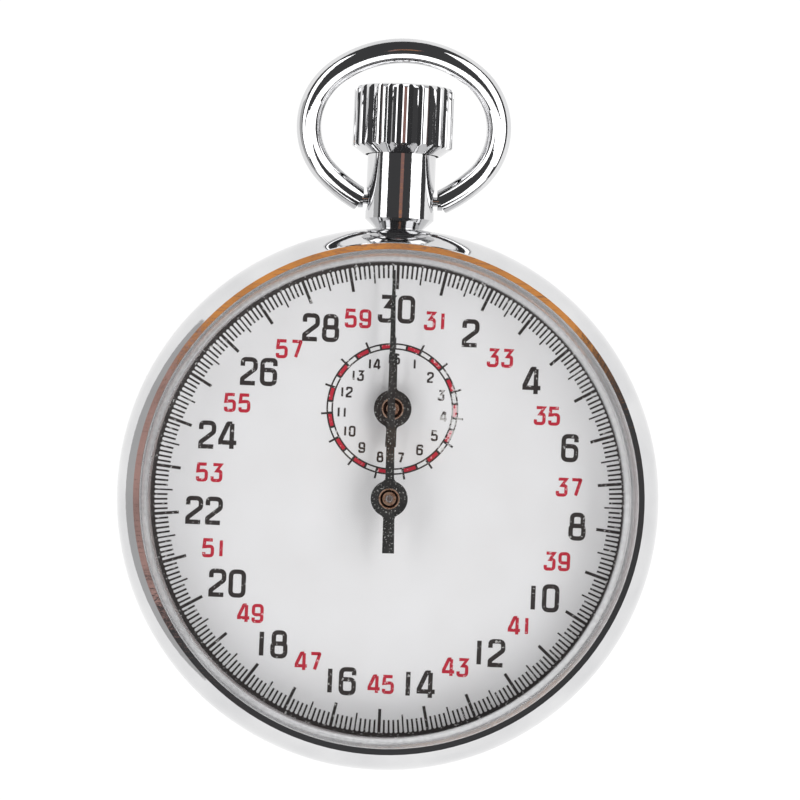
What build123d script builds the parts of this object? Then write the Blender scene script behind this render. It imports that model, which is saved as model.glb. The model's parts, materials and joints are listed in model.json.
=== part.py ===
from build123d import *
import os
from math import acos, asin, atan2, cos, degrees, hypot, radians, sin

# A single-crown mechanical stopwatch, in millimetres. It lies on its back: the dial faces +Z,
# the pendant and crown point along +Y, and the origin is the middle of the back cover's flat.

# Driving dimensions of the case
CASE_R = 27.5
BEZEL_LAND_R = (25.07, 25.67)
BEZEL_TOP_Z = 13.45
CRYSTAL_R = 25.0
CRYSTAL_TOP_Z = 16.9
DIAL_R = 24.6
BACK_FLAT_R = 17.5
BACK_WALL = 0.7
SUBDIAL_Y = 9.08

# Levels of the movement, from the back cover to the dial
LEVER_Z = (1.5, 2.0)
RATCHET_Z = (2.6, 3.15)
BRIDGE_Z = (3.8, 5.0)
PLATE_Z = (7.8, 9.4)
DIAL_Z = (10.4, 10.7)
STEM_Z = 6.6

# Pendant, crown and bow
PENDANT_R = 3.5
NECK_R = 2.4
PENDANT_TOP_Y = 36.3
SLEEVE_R = 1.55
CROWN_R = 5.12
CROWN_Y = (35.1, 42.1)
CROWN_FLUTES = 30
FLUTE_DEPTH = 0.36
STEM_SQUARE = 1.0
BOW_PIVOT_Y = 30.5
BOW_WIRE_R = 1.25
BOW_REST_TILT = 22.0
BOW_FOOT_X = 4.15
BOW_FOOT_R, BOW_FOOT_TURN = 14.7, 16.9
BOW_SIDE_R, BOW_SIDE_TURN = 7.3, 95.8
BOW_TOP_R, BOW_TOP_TURN = 11.09, 76.6

# Plan positions of the arbors and pivots
SECONDS = (0.0, 0.0)
MINUTES = (0.0, SUBDIAL_Y)
BARREL = (-8.9, 9.52)
CROWN_WHEEL = (0.0, 14.5)
LEVER_PIVOT = (9.8, 12.2)
COLUMN = (14.2, 2.6)
HAMMER_PIVOT = (8.5, -7.5)
BRAKE_PIVOT = (13.5, -7.5)
CLICK_PIVOT = (-17.0, 10.6)

# Feet that hold the bridges off the main plate: centre and radius
BARREL_FEET = (((-19.5, 7.0), 1.6), ((-12.9, 17.4), 1.3), ((4.8, 7.6), 1.5))
TRAIN_FEET = (((-13.5, -2.5), 1.5), ((8.5, -2.0), 1.4), ((18.3, -2.5), 1.6))
COCK_FEET = (((-7.5, -18.0), 2.2),)
CASE_SCREW_ANGLES = (45, 225, 315)
CASE_SCREW_RING_R = 22.9

# Gear data: teeth and module
WINDING_TEETH, CROWN_TEETH, RATCHET_TEETH, WINDING_MODULE = 20, 24, 44, 0.3
BARREL_TEETH, INTERMEDIATE_LEAVES, BARREL_MODULE = 80, 20, 0.18
INTERMEDIATE_TEETH, SECONDS_LEAVES, TRAIN_MODULE = 80, 20, 0.12
SECONDS_TEETH, ESCAPE_LEAVES, ESCAPE_MODULE = 100, 10, 0.1
COUNTER_LEAVES, COUNTER_WHEEL_1, COUNTER_WHEEL_2, COUNTER_MODULE = 12, 60, 72, 0.12
ADDENDUM, DEDENDUM = 0.8, 1.1
ROOT_SHARE, TIP_SHARE = 0.27, 0.11

# Escapement and balance
ESCAPE_TOOTH_COUNT, ESCAPE_TIP_R = 15, 2.6
LEVER_REACH, BALANCE_REACH, PALLET_FOOT_REACH = 3.0, 3.9, 5.6
BALANCE_R = 6.0

# Hands: rest angles about +Z, lengths and levels
SECONDS_REST, MINUTES_REST = 1.1, -1.0
SECONDS_HAND_Z = (12.9, 13.1)
MINUTES_HAND_Z = (11.6, 11.8)
SECONDS_HUB_R, SECONDS_BUSH_R = 1.86, 1.05
MINUTES_HUB_R, MINUTES_BUSH_R = 1.9, 1.1
BUSH_LIP, BUSH_WALL, BUSH_GROOVE, BUSH_BEVEL = 0.14, 0.28, 0.3, 0.05
ARBOR_TIP_BEVEL = 0.14

# Pivots, arbors, screws and running clearance
SECONDS_ARBOR_R, MINUTES_ARBOR_R = 0.4, 0.35
BARREL_PIVOT_R, BARREL_ARBOR_R = 0.7, 0.9
TRAIN_PIVOT_R, ESCAPE_PIVOT_R, STAFF_PIVOT_R = 0.25, 0.15, 0.12
COLUMN_PIVOT_R = 0.5
SCREW_R, SCREW_HEAD_R, SCREW_HEAD_H = 0.5, 0.95, 0.45
CLICK_SCREW_R, CROWN_WHEEL_SCREW_R, SMALL_SCREW_R = 0.4, 0.6, 0.35
RUNNING = 0.03
JEWEL_R, JEWEL_H = 0.75, 0.35
BASE = (Align.CENTER, Align.CENTER, Align.MIN)


def between(centre_a, radius_a, centre_b, radius_b, side):
    """The point at radius_a from one centre and radius_b from another, on the left (+1) or right."""
    dx = centre_b[0] - centre_a[0]
    dy = centre_b[1] - centre_a[1]
    span = hypot(dx, dy)
    angle = atan2(dy, dx) + side * acos((radius_a**2 + span**2 - radius_b**2) / (2 * radius_a * span))
    return (centre_a[0] + radius_a * cos(angle), centre_a[1] + radius_a * sin(angle))


def spread(module, teeth_a, teeth_b):
    """Centre distance of two meshed gears."""
    return module * (teeth_a + teeth_b) / 2


def along(start, angle, distance):
    """The point at a distance from start, in the direction of an angle in degrees."""
    return (start[0] + distance * cos(radians(angle)), start[1] + distance * sin(radians(angle)))


INTERMEDIATE = between(
    SECONDS,
    spread(TRAIN_MODULE, INTERMEDIATE_TEETH, SECONDS_LEAVES),
    BARREL,
    spread(BARREL_MODULE, BARREL_TEETH, INTERMEDIATE_LEAVES),
    1,
)
COUNTER_IDLER = between(
    SECONDS,
    spread(COUNTER_MODULE, COUNTER_LEAVES, COUNTER_WHEEL_1),
    MINUTES,
    spread(COUNTER_MODULE, COUNTER_LEAVES, COUNTER_WHEEL_2),
    -1,
)
ESCAPE_ANGLE, LINE_ANGLE = -60.0, -107.5
ESCAPE = along(SECONDS, ESCAPE_ANGLE, spread(ESCAPE_MODULE, SECONDS_TEETH, ESCAPE_LEAVES))
PALLET = along(ESCAPE, LINE_ANGLE, LEVER_REACH)
BALANCE = along(PALLET, LINE_ANGLE, BALANCE_REACH)
PALLET_FEET = tuple(along(PALLET, LINE_ANGLE + turn, PALLET_FOOT_REACH) for turn in (90, -90))

BARREL_Z = (5.7, 7.7)
BARREL_TEETH_Z = (7.1, 7.7)
INTERMEDIATE_Z = (5.15, 5.4)
SECONDS_WHEEL_Z = (6.2, 6.45)
ESCAPE_Z = (7.2, 7.4)
BALANCE_Z = (5.65, 6.35)
COUNTER_Z = (9.55, 9.75)
MINUTE_WHEEL_Z = (9.9, 10.1)
OPERATING_Z = (6.2, 6.8)
PALLET_BRIDGE_Z = (6.6, 6.95)
PIVOT_Z = (BRIDGE_Z[0] + 0.1, PLATE_Z[1] - 0.2)
ARBOR_LOW_Z = 1.3

# Dial feet, the foot of the column wheel's jumper, the stud of the hairspring, and the jewels
DIAL_FEET = ((-15.0, -12.0), (13.0, 14.0))
DIAL_FOOT_R = 0.4
JUMPER_FOOT = (20.0, 9.0)
STUD = along(BALANCE, 0, 2.85)
STUD_R = 0.28
TRAIN_JEWELS = (
    (INTERMEDIATE, TRAIN_PIVOT_R + RUNNING), (SECONDS, SECONDS_ARBOR_R + RUNNING),
    (ESCAPE, ESCAPE_PIVOT_R + RUNNING),
)
COCK_JEWELS = ((BALANCE, STAFF_PIVOT_R + RUNNING),)
PLATE_JEWELS = (
    (INTERMEDIATE, TRAIN_PIVOT_R + RUNNING), (ESCAPE, ESCAPE_PIVOT_R + RUNNING),
    (PALLET, ESCAPE_PIVOT_R + RUNNING), (BALANCE, STAFF_PIVOT_R + RUNNING),
)


# Small makers of shapes

def disc(radius, low, high, centre=(0.0, 0.0)):
    """A solid cylinder standing along Z."""
    return Pos(centre[0], centre[1], low) * Cylinder(radius, high - low, align=BASE)


def tube(outer, inner, low, high, centre=(0.0, 0.0)):
    """A ring standing along Z."""
    return disc(outer, low, high, centre) - disc(inner, low, high, centre)


def slab(outline, low, high):
    """A closed outline in plan, raised from low to high."""
    return Pos(0, 0, low) * extrude(make_face(Polyline(*outline, close=True)), high - low)


def turned(*edges):
    """Edges of an (r, z) outline, revolved about Z."""
    return revolve(make_face(Plane.XZ * Curve(children=list(edges))), Axis.Z)


def dome_arc(edge_r, edge_z, top_z):
    """The (r, z) arc of a shallow dome, from its edge to its top on the axis."""
    radius = (edge_r**2 + (top_z - edge_z)**2) / (2 * (top_z - edge_z))
    half = asin(edge_r / radius) / 2
    middle = (radius * sin(half), top_z - radius + radius * cos(half))
    return ThreePointArc((edge_r, edge_z), middle, (0, top_z))


def turned_on_stem(outline):
    """An (r, y) outline revolved about the stem's axis."""
    return Pos(0, 0, STEM_Z) * revolve(make_face(Polyline(*outline, close=True)), Axis.Y)


def rod_on_stem(radius, low, high):
    """A cylinder along the stem's axis from low y to high y."""
    return Pos(0, low, STEM_Z) * Rot(-90, 0, 0) * Cylinder(radius, high - low, align=BASE)


def capsule(start, end, radius, low, high):
    """A flat bar with round ends between two points."""
    span = hypot(end[0] - start[0], end[1] - start[1])
    angle = degrees(atan2(end[1] - start[1], end[0] - start[0]))
    outline = SlotCenterToCenter(span, 2 * radius)
    middle = Pos((start[0] + end[0]) / 2, (start[1] + end[1]) / 2, low)
    return middle * Rot(0, 0, angle) * extrude(outline, high - low)


def chain(points, radius, low, high):
    """Capsules from point to point, joined."""
    body = capsule(points[0], points[1], radius, low, high)
    for start, end in zip(points[1:], points[2:]):
        body += capsule(start, end, radius, low, high)
    return body


def hull_plate(circles, low, high):
    """The plate stretched round a set of circles."""
    edges = [edge for centre, radius in circles for edge in (Pos(*centre) * Circle(radius)).edges()]
    return Pos(0, 0, low) * extrude(make_hull(edges), high - low)


def drilled(body, holes, low, high):
    """Cuts plain holes, each given as a centre and a radius."""
    for centre, radius in holes:
        body -= disc(radius, low, high, centre)
    return body


def facing(centre, other):
    """The direction from one centre to another, in degrees."""
    return degrees(atan2(other[1] - centre[1], other[0] - centre[0]))


def gear(teeth, module, low, high, centre, phase):
    """A flat gear with straight-sided teeth, one tooth centred on the phase angle."""
    pitch_r = module * teeth / 2
    root_r = pitch_r - DEDENDUM * module
    tip_r = pitch_r + ADDENDUM * module
    corners = ((root_r, -ROOT_SHARE), (tip_r, -TIP_SHARE), (tip_r, TIP_SHARE), (root_r, ROOT_SHARE))
    outline = []
    for tooth in range(teeth):
        for radius, share in corners:
            outline.append(along(centre, phase + 360 * (tooth + share) / teeth, radius))
    return slab(outline, low, high)


def driven_phase(teeth, centre, driver):
    """The phase that puts a gap of a gear on the line to its driver."""
    return facing(centre, driver) + 180 / teeth


def windows(count, ring_r, radius, low, high, centre):
    """Round lightening holes in a wheel."""
    return [disc(radius, low, high, along(centre, 360 * i / count, ring_r)) for i in range(count)]


def spiral_strip(radii, turns, thickness, low, high, centre):
    """A flat coiled strip from an inner to an outer radius."""
    steps = 14 * turns
    sides = []
    for shift in (-thickness / 2, thickness / 2):
        points = []
        for i in range(steps + 1):
            radius = radii[0] + (radii[1] - radii[0]) * i / steps + shift
            points.append(along(centre, 360 * turns * i / steps, radius))
        sides.append(Spline(*points))
    ends = [Line(sides[0] @ end, sides[1] @ end) for end in (0, 1)]
    return Pos(0, 0, low) * extrude(make_face(Curve(children=[*sides, *ends])), high - low)


def heart(nose_r, cleft_r, low, high, centre):
    """A heart cam with its cleft towards -X."""
    halves = []
    for side in (1, -1):
        points = []
        for i in range(9):
            radius = cleft_r + (nose_r - cleft_r) * i / 8
            points.append(along(centre, 180 - side * 180 * i / 8, radius))
        halves.append(Spline(*points))
    return Pos(0, 0, low) * extrude(make_face(Curve(children=halves)), high - low)


def slotted_screw(centre, head_low, shank_high, radius=SCREW_R, head_r=SCREW_HEAD_R):
    """A cheese-head screw whose head faces the back cover."""
    head_high = head_low + SCREW_HEAD_H
    body = disc(head_r, head_low, head_high, centre) + disc(radius, head_high, shank_high, centre)
    slot = Box(2 * head_r, 0.25, 0.2, align=BASE)
    return body - Pos(centre[0], centre[1], head_low) * Rot(0, 0, 30) * slot


def group(solids):
    """Separate solids kept together in one sub-part."""
    return Compound(children=[solid for item in solids for solid in item.solids()])


# Case

def case_band():
    outline = turned(
        Polyline((23.8, 2.3), (23.8, PLATE_Z[1]), (22.9, PLATE_Z[1]), (22.9, DIAL_Z[0])),
        Polyline((22.9, DIAL_Z[0]), (25.3, DIAL_Z[0]), (25.3, 9.6), (27.42, 9.6)),
        ThreePointArc((27.42, 9.6), (CASE_R - 0.03, 7.4), (26.0, 2.9)),
        Polyline((26.0, 2.9), (25.4, 2.9), (25.4, 2.3), (23.8, 2.3)),
    )
    outline -= rod_on_stem(SLEEVE_R + 0.1, 22.0, 26.0)
    outline -= rod_on_stem(NECK_R, 25.0, 29.0)
    groove = tube(24.4, 23.5, PLATE_Z[0] - 0.5, PLATE_Z[0])
    return outline - groove


def back_cover():
    return turned(
        Line((0, 0), (BACK_FLAT_R, 0)),
        ThreePointArc((BACK_FLAT_R, 0), (22.3, 0.75), (26.0, 2.85)),
        Polyline((26.0, 2.85), (25.45, 2.85), (25.45, 2.25), (24.9, 2.25)),
        ThreePointArc((24.9, 2.25), (21.5, 1.2), (BACK_FLAT_R, BACK_WALL)),
        Polyline((BACK_FLAT_R, BACK_WALL), (0, BACK_WALL), (0, 0)),
    )


def bezel():
    inner, outer = BEZEL_LAND_R
    return turned(
        Polyline((25.35, 9.65), (27.42, 9.65)),
        ThreePointArc((27.42, 9.65), (26.89, 11.63), (outer + 0.1, BEZEL_TOP_Z - 0.1)),
        Polyline((outer + 0.1, BEZEL_TOP_Z - 0.1), (outer, BEZEL_TOP_Z), (inner, BEZEL_TOP_Z)),
        Polyline((inner, BEZEL_TOP_Z), (inner, 11.35), (24.32, 11.35), (24.32, 10.75)),
        Polyline((24.32, 10.75), (25.35, 10.75), (25.35, 9.65)),
    )


def crystal():
    return turned(
        Line((CRYSTAL_R, 11.4), (CRYSTAL_R, 14.5)),
        ThreePointArc((CRYSTAL_R, 14.5), (24.7, 15.15), (24.0, 15.5)),
        dome_arc(24.0, 15.5, CRYSTAL_TOP_Z),
        Line((0, CRYSTAL_TOP_Z), (0, CRYSTAL_TOP_Z - 1.1)),
        dome_arc(23.6, 14.5, CRYSTAL_TOP_Z - 1.1),
        ThreePointArc((23.6, 14.5), (24.1, 14.25), (24.3, 13.8)),
        Polyline((24.3, 13.8), (24.3, 11.4), (CRYSTAL_R, 11.4)),
    )


def crystal_ring():
    return tube(24.28, 24.0, DIAL_Z[1], 11.9)


def dial():
    plate = disc(DIAL_R, *DIAL_Z)
    plate = drilled(plate, ((SECONDS, 0.95), (MINUTES, 0.85)), *DIAL_Z)
    for foot in DIAL_FEET:
        plate += disc(DIAL_FOOT_R, PLATE_Z[1] - 1.0, DIAL_Z[0], foot)
    return plate


def pendant_tube():
    outline = (
        (1.6, 25.0),
        (NECK_R, 25.0),
        (NECK_R, CASE_R),
        (PENDANT_R, 28.5),
        (PENDANT_R, PENDANT_TOP_Y),
        (2.6, PENDANT_TOP_Y),
        (2.6, 29.5),
        (1.6, 29.5),
    )
    body = turned_on_stem(outline)
    for side in (-1, 1):
        at_pivot = Pos(side * PENDANT_R, BOW_PIVOT_Y, STEM_Z) * Rot(0, 90, 0)
        body -= at_pivot * Cylinder(0.58, 4.0)
        body -= at_pivot * Cylinder(1.27, 0.7)
    return body


def pendant_bush():
    return turned_on_stem(((1.6, 34.4), (2.6, 34.4), (2.6, PENDANT_TOP_Y), (1.6, PENDANT_TOP_Y)))


# Crown and its push works

def push_sleeve():
    outline = ((0.86, 24.0), (SLEEVE_R, 24.0), (SLEEVE_R, 33.4), (2.5, 33.4), (2.5, 34.3),
               (SLEEVE_R, 34.3), (SLEEVE_R, 38.2), (0.86, 38.2))
    return turned_on_stem(outline)


def crown_return_spring():
    coil = Helix(pitch=0.72, height=3.1, radius=2.08)
    wire = sweep(Plane(coil @ 0, z_dir=coil % 0) * Circle(0.17), path=coil, is_frenet=True)
    return Pos(0, 29.9, STEM_Z) * Rot(-90, 0, 0) * wire


def crown_cap():
    low, high = CROWN_Y
    blank = turned_on_stem((
        (0.8, low + 3.3), (1.5, low + 3.3), (1.5, low + 4.5), (3.75, low + 4.5), (3.75, low),
        (3.97, low), (CROWN_R, low + 0.88), (CROWN_R, high - 0.5), (CROWN_R - 0.15, high - 0.22),
        (CROWN_R - 0.5, high - 0.06), (CROWN_R - 1.2, high), (0, high), (0, high - 1.1),
        (0.8, high - 1.1),
    ))
    outline = []
    for flute in range(CROWN_FLUTES):
        for share, radius in (
            (0.0, CROWN_R - FLUTE_DEPTH), (0.24, CROWN_R - 0.06), (0.38, CROWN_R + 0.02),
            (0.62, CROWN_R + 0.02), (0.76, CROWN_R - 0.06),
        ):
            outline.append(along((0, 0), 360 * (flute + share) / CROWN_FLUTES, radius))
    star = extrude(make_face(Polyline(*outline, close=True)), high - low + 2)
    return blank & (Pos(0, low - 1, STEM_Z) * Rot(-90, 0, 0) * star)


def winding_stem():
    along_stem = (Align.CENTER, Align.MIN, Align.CENTER)
    square = Pos(0, 15.9, STEM_Z) * Box(STEM_SQUARE, 8.1, STEM_SQUARE, align=along_stem)
    return square + rod_on_stem(0.8, 24.0, CROWN_Y[1] - 1.1)


def winding_pinion():
    flat = gear(WINDING_TEETH, WINDING_MODULE, 0, 0.6, (0, 0), 0)
    body = Pos(0, 17.8, STEM_Z) * Rot(-90, 0, 0) * Rot(0, 0, 90) * flat
    body += rod_on_stem(1.2, 16.8, 20.4)
    hole = STEM_SQUARE + 0.08
    return body - Pos(0, 19.0, STEM_Z) * Box(hole, 6.0, hole)


# Winding works on the back of the barrel bridge

def crown_wheel():
    low, high = RATCHET_Z
    body = gear(CROWN_TEETH, WINDING_MODULE, low, high, CROWN_WHEEL, facing(CROWN_WHEEL, BARREL))
    pitch_r = WINDING_MODULE * CROWN_TEETH / 2
    for tooth in range(CROWN_TEETH):
        angle = 90 + 360 * (tooth + 0.5) / CROWN_TEETH
        half_base, half_tip, inner, outer = 0.2, 0.11, pitch_r - 0.35, pitch_r + 0.1
        profile = ((-half_base, 0), (half_base, 0), (half_tip, 0.45), (-half_tip, 0.45))
        ridge = extrude(Plane.YZ * make_face(Polyline(*profile, close=True)), outer - inner)
        at_wheel = Pos(CROWN_WHEEL[0], CROWN_WHEEL[1], high - 0.01) * Rot(0, 0, angle) * Pos(inner, 0, 0)
        body += at_wheel * ridge
    return drilled(body, ((CROWN_WHEEL, 0.65),), low, high)


def ratchet_wheel():
    phase = driven_phase(RATCHET_TEETH, BARREL, CROWN_WHEEL)
    body = gear(RATCHET_TEETH, WINDING_MODULE, *RATCHET_Z, BARREL, phase)
    return drilled(body, ((BARREL, 0.9),), *RATCHET_Z)


def ratchet_screw():
    return slotted_screw(BARREL, RATCHET_Z[0] - SCREW_HEAD_H, RATCHET_Z[0] + 1.0, CLICK_SCREW_R, 1.6)


def wheel_screws():
    head = RATCHET_Z[0] - SCREW_HEAD_H
    return group((
        slotted_screw(CROWN_WHEEL, head, 4.6, CROWN_WHEEL_SCREW_R, 1.4),
        slotted_screw(CLICK_PIVOT, head, 4.6, CLICK_SCREW_R, 0.8),
    ))


def click():
    nose = (-15.0, 13.9)
    low, high = RATCHET_Z[0] + 0.05, RATCHET_Z[1] + 0.1
    body = capsule(CLICK_PIVOT, nose, 0.45, low, high) + disc(1.0, low, high, CLICK_PIVOT)
    return drilled(body, ((CLICK_PIVOT, CLICK_SCREW_R + RUNNING),), low, high)


def click_spring():
    low, high = RATCHET_Z[0] + 0.3, BRIDGE_Z[0]
    strip = chain(((-18.3, 8.9), (-18.5, 11.9), (-17.0, 14.6)), 0.12, low, high)
    return strip + disc(0.6, low, high, (-18.3, 8.7))


# Going barrel

def barrel_arbor():
    low = RATCHET_Z[0]
    body = disc(BARREL_ARBOR_R, low, 5.6, BARREL) + disc(BARREL_PIVOT_R, 5.6, PIVOT_Z[1], BARREL)
    body += disc(1.7, 6.1, 7.2, BARREL)
    return body - disc(CLICK_SCREW_R, low, low + 1.0, BARREL)


def barrel_drum():
    low, high = BARREL_Z
    root_r = BARREL_MODULE * (BARREL_TEETH / 2 - DEDENDUM)
    phase = facing(BARREL, INTERMEDIATE)
    body = disc(root_r, low, high, BARREL)
    body += gear(BARREL_TEETH, BARREL_MODULE, *BARREL_TEETH_Z, BARREL, phase)
    body -= disc(root_r - 0.5, low, high - 0.3, BARREL)
    return drilled(body, ((BARREL, BARREL_PIVOT_R + RUNNING),), low, high)


def barrel_cover():
    inner_r = BARREL_MODULE * (BARREL_TEETH / 2 - DEDENDUM) - 0.5
    return tube(inner_r, BARREL_PIVOT_R + RUNNING, BARREL_Z[0], BARREL_Z[0] + 0.25, BARREL)


def mainspring():
    return spiral_strip((1.85, 6.3), 7, 0.14, 6.05, 7.3, BARREL)


# Running train

def intermediate_wheel():
    pinion = gear(INTERMEDIATE_LEAVES, BARREL_MODULE, 7.05, 7.72, INTERMEDIATE,
                  driven_phase(INTERMEDIATE_LEAVES, INTERMEDIATE, BARREL))
    phase = facing(INTERMEDIATE, SECONDS)
    wheel = gear(INTERMEDIATE_TEETH, TRAIN_MODULE, *INTERMEDIATE_Z, INTERMEDIATE, phase)
    for window in windows(5, 2.8, 1.25, *INTERMEDIATE_Z, INTERMEDIATE):
        wheel -= window
    arbor = disc(0.5, INTERMEDIATE_Z[0], 7.1, INTERMEDIATE)
    return pinion + wheel + arbor + disc(TRAIN_PIVOT_R, *PIVOT_Z, INTERMEDIATE)


def seconds_wheel():
    wheel = gear(SECONDS_TEETH, ESCAPE_MODULE, *SECONDS_WHEEL_Z, SECONDS, facing(SECONDS, ESCAPE))
    for window in windows(5, 3.0, 1.3, *SECONDS_WHEEL_Z, SECONDS):
        wheel -= window
    phase = driven_phase(SECONDS_LEAVES, SECONDS, INTERMEDIATE)
    wheel += gear(SECONDS_LEAVES, TRAIN_MODULE, 5.1, 5.5, SECONDS, phase)
    wheel += disc(0.8, 5.5, 9.45, SECONDS)
    wheel += gear(COUNTER_LEAVES, COUNTER_MODULE, 9.44, 9.85, SECONDS, facing(SECONDS, COUNTER_IDLER))
    return drilled(wheel, ((SECONDS, SECONDS_ARBOR_R + RUNNING),), 5.0, 10.0)


def seconds_arbor():
    body = disc(SECONDS_ARBOR_R, ARBOR_LOW_Z, SECONDS_HAND_Z[1] + 0.2, SECONDS)
    return chamfer(body.edges().group_by(Axis.Z)[-1], ARBOR_TIP_BEVEL)


def seconds_heart():
    return drilled(heart(1.9, 0.75, *LEVER_Z, SECONDS), ((SECONDS, SECONDS_ARBOR_R),), *LEVER_Z)


def escape_wheel():
    outline = []
    for tooth in range(ESCAPE_TOOTH_COUNT):
        for share, radius in ((-0.3, 2.0), (-0.02, ESCAPE_TIP_R), (0.08, ESCAPE_TIP_R - 0.05), (0.12, 2.0)):
            angle = LINE_ANGLE + 360 * (tooth + share) / ESCAPE_TOOTH_COUNT
            outline.append(along(ESCAPE, angle, radius))
    wheel = slab(outline, *ESCAPE_Z)
    for window in windows(5, 1.2, 0.45, *ESCAPE_Z, ESCAPE):
        wheel -= window
    phase = driven_phase(ESCAPE_LEAVES, ESCAPE, SECONDS)
    wheel += gear(ESCAPE_LEAVES, ESCAPE_MODULE, 6.05, 6.7, ESCAPE, phase)
    wheel += disc(0.3, 6.7, ESCAPE_Z[1], ESCAPE) + disc(0.3, 5.2, 6.05, ESCAPE)
    return wheel + disc(ESCAPE_PIVOT_R, *PIVOT_Z, ESCAPE)


# Lever escapement and balance

def stone_places():
    """Centres of the entry and exit pallet stones, clear of the escape wheel's tip circle."""
    return [along(ESCAPE, LINE_ANGLE + turn, ESCAPE_TIP_R + 0.42) for turn in (-30, 30)]


def pallet_fork():
    low, high = ESCAPE_Z[0], ESCAPE_Z[1] + 0.05
    body = capsule(PALLET, along(PALLET, LINE_ANGLE, 2.55), 0.22, low, high)
    body += disc(0.5, low, high, PALLET)
    root = along(PALLET, LINE_ANGLE, 2.4)
    for turn in (-7.5, 7.5):
        body += capsule(root, along(PALLET, LINE_ANGLE + turn, 2.9), 0.14, low, high)
    for place in stone_places():
        body += capsule(PALLET, along(PALLET, facing(PALLET, place), 1.28), 0.2, low, high)
    body += disc(ESCAPE_PIVOT_R, PALLET_BRIDGE_Z[0], PIVOT_Z[1], PALLET)
    for stone in stone_solids():
        body -= stone
    return body


def stone_solids():
    stones = []
    for place, turn in zip(stone_places(), (-30, 30)):
        block = Box(0.42, 0.2, 0.4)
        stones.append(Pos(place[0], place[1], ESCAPE_Z[0] + 0.15) * Rot(0, 0, LINE_ANGLE + turn) * block)
    return stones


def pallet_stones():
    return group(stone_solids())


def balance_wheel():
    low, high = BALANCE_Z
    rim = tube(BALANCE_R, BALANCE_R - 0.7, low, high, BALANCE)
    arm = capsule(along(BALANCE, 15, -5.6), along(BALANCE, 15, 5.6), 0.3, low + 0.2, high - 0.2)
    body = rim + arm + disc(0.9, low + 0.1, high - 0.1, BALANCE)
    return drilled(body, ((BALANCE, 0.3),), low, high)


def balance_staff():
    body = disc(0.3, 5.05, 7.5, BALANCE) + disc(STAFF_PIVOT_R, *PIVOT_Z, BALANCE)
    return body + disc(0.55, 5.06, 5.5, BALANCE)


def roller():
    table = tube(0.9, 0.3, 6.96, 7.1, BALANCE)
    return table + disc(0.1, 7.09, 7.48, along(BALANCE, LINE_ANGLE + 180, 0.65))


def hairspring():
    return spiral_strip((0.6, 2.5), 9, 0.06, 5.12, 5.42, BALANCE)


def hairspring_stud():
    return disc(STUD_R, BRIDGE_Z[0] + 0.4, 5.5, STUD)


def regulator():
    low, high = BRIDGE_Z[0] - 0.3, BRIDGE_Z[0]
    body = tube(1.7, 0.9, low, high, BALANCE)
    for angle, reach in ((60, 4.4), (-30, 2.4)):
        body += capsule(along(BALANCE, angle, 1.4), along(BALANCE, angle, reach), 0.22, low, high)
    return body


# Plates, bridges and their fasteners

def bridge(circles, feet, arbor_holes, jewel_holes):
    """A bridge with feet down to the main plate, screw holes and seats for its jewels."""
    low, high = BRIDGE_Z
    body = hull_plate(tuple(circles) + tuple((centre, radius + 0.3) for centre, radius in feet), low, high)
    for centre, radius in feet:
        body += disc(radius, high, PLATE_Z[0], centre)
        body -= disc(SCREW_R, low, PLATE_Z[0], centre)
    body = drilled(body, arbor_holes, low, high)
    for centre, _ in jewel_holes:
        body -= disc(JEWEL_R, low, low + JEWEL_H, centre)
        body -= disc(0.42, low, high, centre)
    return body


def barrel_bridge():
    circles = ((BARREL, 5.0), (CROWN_WHEEL, 2.3))
    holes = (
        (BARREL, BARREL_ARBOR_R + RUNNING), (MINUTES, MINUTES_ARBOR_R + RUNNING),
        (CLICK_PIVOT, CLICK_SCREW_R),
    )
    body = bridge(circles, BARREL_FEET, holes, ())
    body += disc(1.6, RATCHET_Z[1] + 0.02, BRIDGE_Z[0], CROWN_WHEEL)
    return drilled(body, ((CROWN_WHEEL, CROWN_WHEEL_SCREW_R),), RATCHET_Z[1], 4.6)


def train_bridge():
    circles = (
        (INTERMEDIATE, 2.2), (SECONDS, 2.0), (ESCAPE, 1.6), (COLUMN, 1.8),
        (HAMMER_PIVOT, 1.6), (BRAKE_PIVOT, 1.6),
    )
    holes = ((COLUMN, COLUMN_PIVOT_R + RUNNING), (HAMMER_PIVOT, SCREW_R), (BRAKE_PIVOT, SCREW_R))
    return bridge(circles, TRAIN_FEET, holes, TRAIN_JEWELS)


def balance_cock():
    body = bridge(((BALANCE, 2.2), (STUD, 0.8)), COCK_FEET, (), COCK_JEWELS)
    return drilled(body, ((STUD, STUD_R),), BRIDGE_Z[0] + 0.4, BRIDGE_Z[1])


def pallet_bridge():
    low, high = PALLET_BRIDGE_Z
    body = hull_plate([(PALLET, 0.9)] + [(foot, 0.8) for foot in PALLET_FEET], low, high)
    for foot in PALLET_FEET:
        body += disc(0.8, high, PLATE_Z[0], foot)
        body -= disc(SMALL_SCREW_R, low, PLATE_Z[0], foot)
    return drilled(body, ((PALLET, ESCAPE_PIVOT_R + RUNNING),), low, high)


def plate_holes():
    holes = [
        (SECONDS, 0.8 + RUNNING), (MINUTES, MINUTES_ARBOR_R + RUNNING),
        (BARREL, BARREL_PIVOT_R + RUNNING), (COUNTER_IDLER, TRAIN_PIVOT_R + RUNNING),
        (COLUMN, COLUMN_PIVOT_R + RUNNING), (LEVER_PIVOT, SCREW_R),
    ]
    holes += [(centre, 0.42) for centre, _ in PLATE_JEWELS]
    holes += [(centre, SCREW_R) for centre, _ in BARREL_FEET + TRAIN_FEET + COCK_FEET]
    holes += [(foot, SMALL_SCREW_R) for foot in PALLET_FEET]
    holes += [(centre, CLICK_SCREW_R) for centre in case_screw_places()]
    holes += [(JUMPER_FOOT, CLICK_SCREW_R)]
    return holes


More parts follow.
